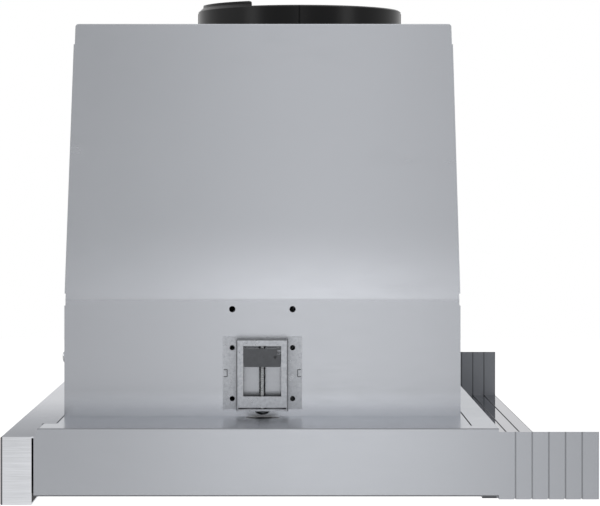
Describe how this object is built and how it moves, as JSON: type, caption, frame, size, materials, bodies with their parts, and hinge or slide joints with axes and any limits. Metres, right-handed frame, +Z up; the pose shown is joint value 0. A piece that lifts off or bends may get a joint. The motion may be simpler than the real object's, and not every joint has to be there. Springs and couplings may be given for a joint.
{
  "type": "pull-out range hood",
  "caption": "Under-cabinet range hood with a leaning-sided steel housing, round duct collar, sliding filter drawer behind a brushed trim, cabinet clamps and a snap-off rear spacer.",
  "frame": {"origin": "on the duct collar's axis, at the top panel's upper face", "axes": "+Z up along the collar, +X along the hood's width, -Y towards the cook"},
  "size_m": [0.76, 0.3593, 0.3256],
  "materials": {
    "housing_sheet": "satin sheet",
    "base_sheet": "satin sheet",
    "trim_steel": "brushed lengthwise",
    "spacer": "smooth grey moulding",
    "collar": "black moulding",
    "flap": "black moulding",
    "galvanised": "zinc coated, faintly mottled",
    "clamp_jaw": "dark cast jaw",
    "zinc_screw": "zinc plated",
    "grommet": "matte rubber",
    "wheel": "dark moulding",
    "motor": "dark painted can",
    "shaft": "ground steel",
    "capacitor": "pale moulding",
    "control_box": "grey moulding",
    "rail": "zinc coated",
    "drawer_sheet": "satin sheet",
    "filter": "satin aluminium",
    "mesh": "layered expanded mesh",
    "latch": "dark moulding",
    "lamp": "turned ring",
    "lens": "frosted",
    "switch": "black moulding"
  },
  "bodies": {
    "casing": {"housing_side_left": "housing_sheet", "housing_side_right": "housing_sheet", "housing_front": "housing_sheet", "housing_back": "housing_sheet", "top_panel": "housing_sheet", "housing_screws": "zinc_screw", "duct_collar": "collar", "damper_pin": "shaft", "inlet_grommet": "grommet", "base_top": "base_sheet", "base_side_left": "base_sheet", "base_side_right": "base_sheet", "base_rear": "base_sheet", "rear_spacer": "spacer", "bracket_left": "galvanised", "bracket_right": "galvanised", "scroll_wrap": "galvanised", "scroll_side_left": "galvanised", "scroll_side_right": "galvanised", "motor": "motor", "motor_bracket": "galvanised", "run_capacitor": "capacitor", "control_box": "control_box", "control_cover": "control_box", "outer_rail_left": "rail", "outer_rail_right": "rail"},
    "drawer": {"front_trim": "trim_steel", "drawer_front": "drawer_sheet", "visor_panel": "drawer_sheet", "drawer_side_left": "drawer_sheet", "drawer_side_right": "drawer_sheet", "drawer_rear": "drawer_sheet", "drawer_floor": "drawer_sheet", "inner_rail_left": "rail", "inner_rail_right": "rail", "filter_frame_left": "filter", "filter_frame_right": "filter", "filter_mesh_left": "mesh", "filter_mesh_right": "mesh", "lamp_left": "lamp", "lamp_right": "lamp", "lens_left": "lens", "lens_right": "lens", "switch_housing": "switch"},
    "mid_rails": {"mid_rail_left": "rail", "mid_rail_right": "rail"},
    "damper_front": {"damper_flap_front": "flap"},
    "damper_rear": {"damper_flap_rear": "flap"},
    "rotor": {"impeller": "wheel", "motor_shaft": "shaft"},
    "left_clamp_screw": {"clamp_screw_left": "zinc_screw"},
    "right_clamp_screw": {"clamp_screw_right": "zinc_screw"},
    "left_clamp_jaw": {"clamp_block_left": "clamp_jaw"},
    "right_clamp_jaw": {"clamp_block_right": "clamp_jaw"},
    "left_latch": {"filter_latch_left": "latch"},
    "right_latch": {"filter_latch_right": "latch"},
    "fan_switch": {"fan_slider": "switch"},
    "light_switch": {"light_slider": "switch"}
  },
  "joints": [
    {"name": "drawer_slide", "type": "slide", "parent": "casing", "child": "drawer", "axis": [0, -1, 0], "range_m": [0, 0.16]},
    {"name": "mid_rail_slide", "type": "slide", "parent": "casing", "child": "mid_rails", "axis": [0, -1, 0], "range_m": [0, 0.0801]},
    {"name": "damper_front_hinge", "type": "hinge", "parent": "casing", "child": "damper_front", "pos_m": [0, 0, 0.0062], "axis": [1, 0, 0], "range_deg": [-80, 0]},
    {"name": "damper_rear_hinge", "type": "hinge", "parent": "casing", "child": "damper_rear", "pos_m": [0, 0, 0.0062], "axis": [1, 0, 0], "range_deg": [0, 80]},
    {"name": "blower_spin", "type": "hinge", "parent": "casing", "child": "rotor", "pos_m": [0, -0.05, -0.135], "axis": [1, 0, 0], "continuous": true},
    {"name": "fan_switch_slide", "type": "slide", "parent": "drawer", "child": "fan_switch", "axis": [1, 0, 0], "range_m": [0, 0.021]},
    {"name": "light_switch_slide", "type": "slide", "parent": "drawer", "child": "light_switch", "axis": [1, 0, 0], "range_m": [0, 0.009]},
    {"name": "left_clamp_jaw_slide", "type": "slide", "parent": "casing", "child": "left_clamp_jaw", "axis": [0, 0, 1], "range_m": [-0.0175, 0]},
    {"name": "left_clamp_screw_turn", "type": "hinge", "parent": "casing", "child": "left_clamp_screw", "pos_m": [-0.3045, -0.0253, -0.23], "axis": [0, 0, 1], "range_deg": [0, 4503]},
    {"name": "left_latch_slide", "type": "slide", "parent": "drawer", "child": "left_latch", "axis": [0, 1, 0], "range_m": [0, 0.005], "stiffness_N_per_m": 150, "springref_m": -0.01},
    {"name": "right_clamp_jaw_slide", "type": "slide", "parent": "casing", "child": "right_clamp_jaw", "axis": [0, 0, 1], "range_m": [-0.0175, 0]},
    {"name": "right_clamp_screw_turn", "type": "hinge", "parent": "casing", "child": "right_clamp_screw", "pos_m": [0.3045, -0.0253, -0.23], "axis": [0, 0, 1], "range_deg": [0, 4503]},
    {"name": "right_latch_slide", "type": "slide", "parent": "drawer", "child": "right_latch", "axis": [0, 1, 0], "range_m": [0, 0.005], "stiffness_N_per_m": 150, "springref_m": -0.01}
  ],
  "couplings": [
    {"joint": "mid_rail_slide", "follows": "drawer_slide", "ratio": 0.5},
    {"joint": "left_clamp_screw_turn", "follows": "left_clamp_jaw_slide", "rad_per_m": -4488},
    {"joint": "right_clamp_screw_turn", "follows": "right_clamp_jaw_slide", "rad_per_m": -4488}
  ]
}
